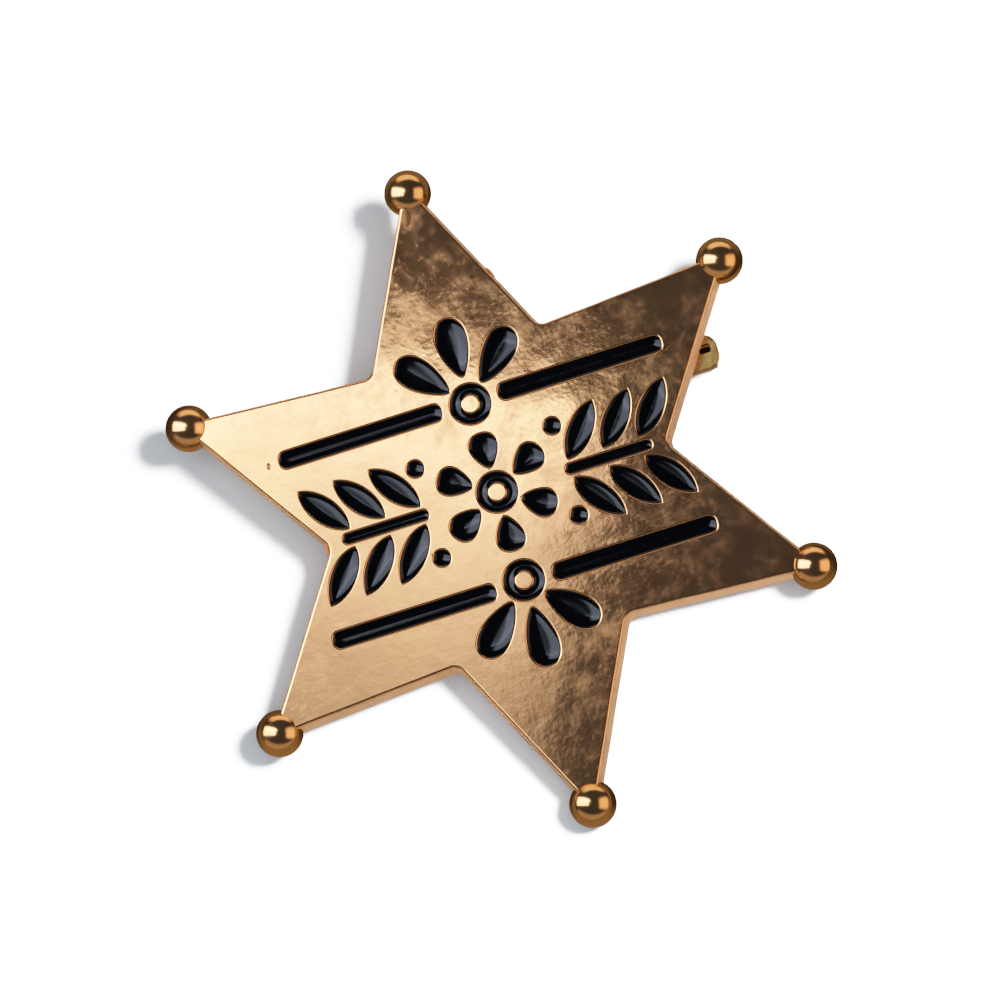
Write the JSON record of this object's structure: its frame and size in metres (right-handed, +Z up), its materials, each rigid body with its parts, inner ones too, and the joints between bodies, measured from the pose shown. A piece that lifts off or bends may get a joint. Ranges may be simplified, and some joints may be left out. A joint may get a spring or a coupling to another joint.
{
  "type": "six-point star badge with a pin back",
  "caption": "Cast six-point star badge with a ball on each point, black enamel ornament on its face and a pin back to wear it on cloth.",
  "frame": {"origin": "middle of the badge's outline on the surface that it lies on, face up", "axes": "+Z up, out of the face as it lies; +Y towards the top point; +X to the right of a person who looks at the face"},
  "size_m": [0.0612, 0.0698, 0.0102],
  "materials": {
    "antique_gold": "cast and plated, with brown antique tone, softly mottled",
    "brass_plate": "stamped strip and drawn wire, plated, satin",
    "black_enamel": "soft enamel, glossy, sunk a little in its places"
  },
  "bodies": {
    "root": {"star": "antique_gold", "pin_back": "brass_plate", "petal_upper_left": "black_enamel", "petal_upper_middle": "black_enamel", "petal_upper_right": "black_enamel", "petal_lower_left": "black_enamel", "petal_lower_middle": "black_enamel", "petal_lower_right": "black_enamel", "ring_upper": "black_enamel", "ring_lower": "black_enamel", "bar_upper_left": "black_enamel", "bar_upper_right": "black_enamel", "bar_lower_left": "black_enamel", "bar_lower_right": "black_enamel", "rosette_ring": "black_enamel", "rosette_petal_1": "black_enamel", "rosette_petal_2": "black_enamel", "rosette_petal_3": "black_enamel", "rosette_petal_4": "black_enamel", "rosette_petal_5": "black_enamel", "rosette_petal_6": "black_enamel", "stem_left": "black_enamel", "stem_right": "black_enamel", "leaf_left_1": "black_enamel", "leaf_left_2": "black_enamel", "leaf_left_3": "black_enamel", "leaf_left_4": "black_enamel", "leaf_left_5": "black_enamel", "leaf_left_6": "black_enamel", "leaf_right_1": "black_enamel", "leaf_right_2": "black_enamel", "leaf_right_3": "black_enamel", "leaf_right_4": "black_enamel", "leaf_right_5": "black_enamel", "leaf_right_6": "black_enamel", "berry_1": "black_enamel", "berry_2": "black_enamel", "berry_3": "black_enamel", "berry_4": "black_enamel"}
  },
  "joints": []
}
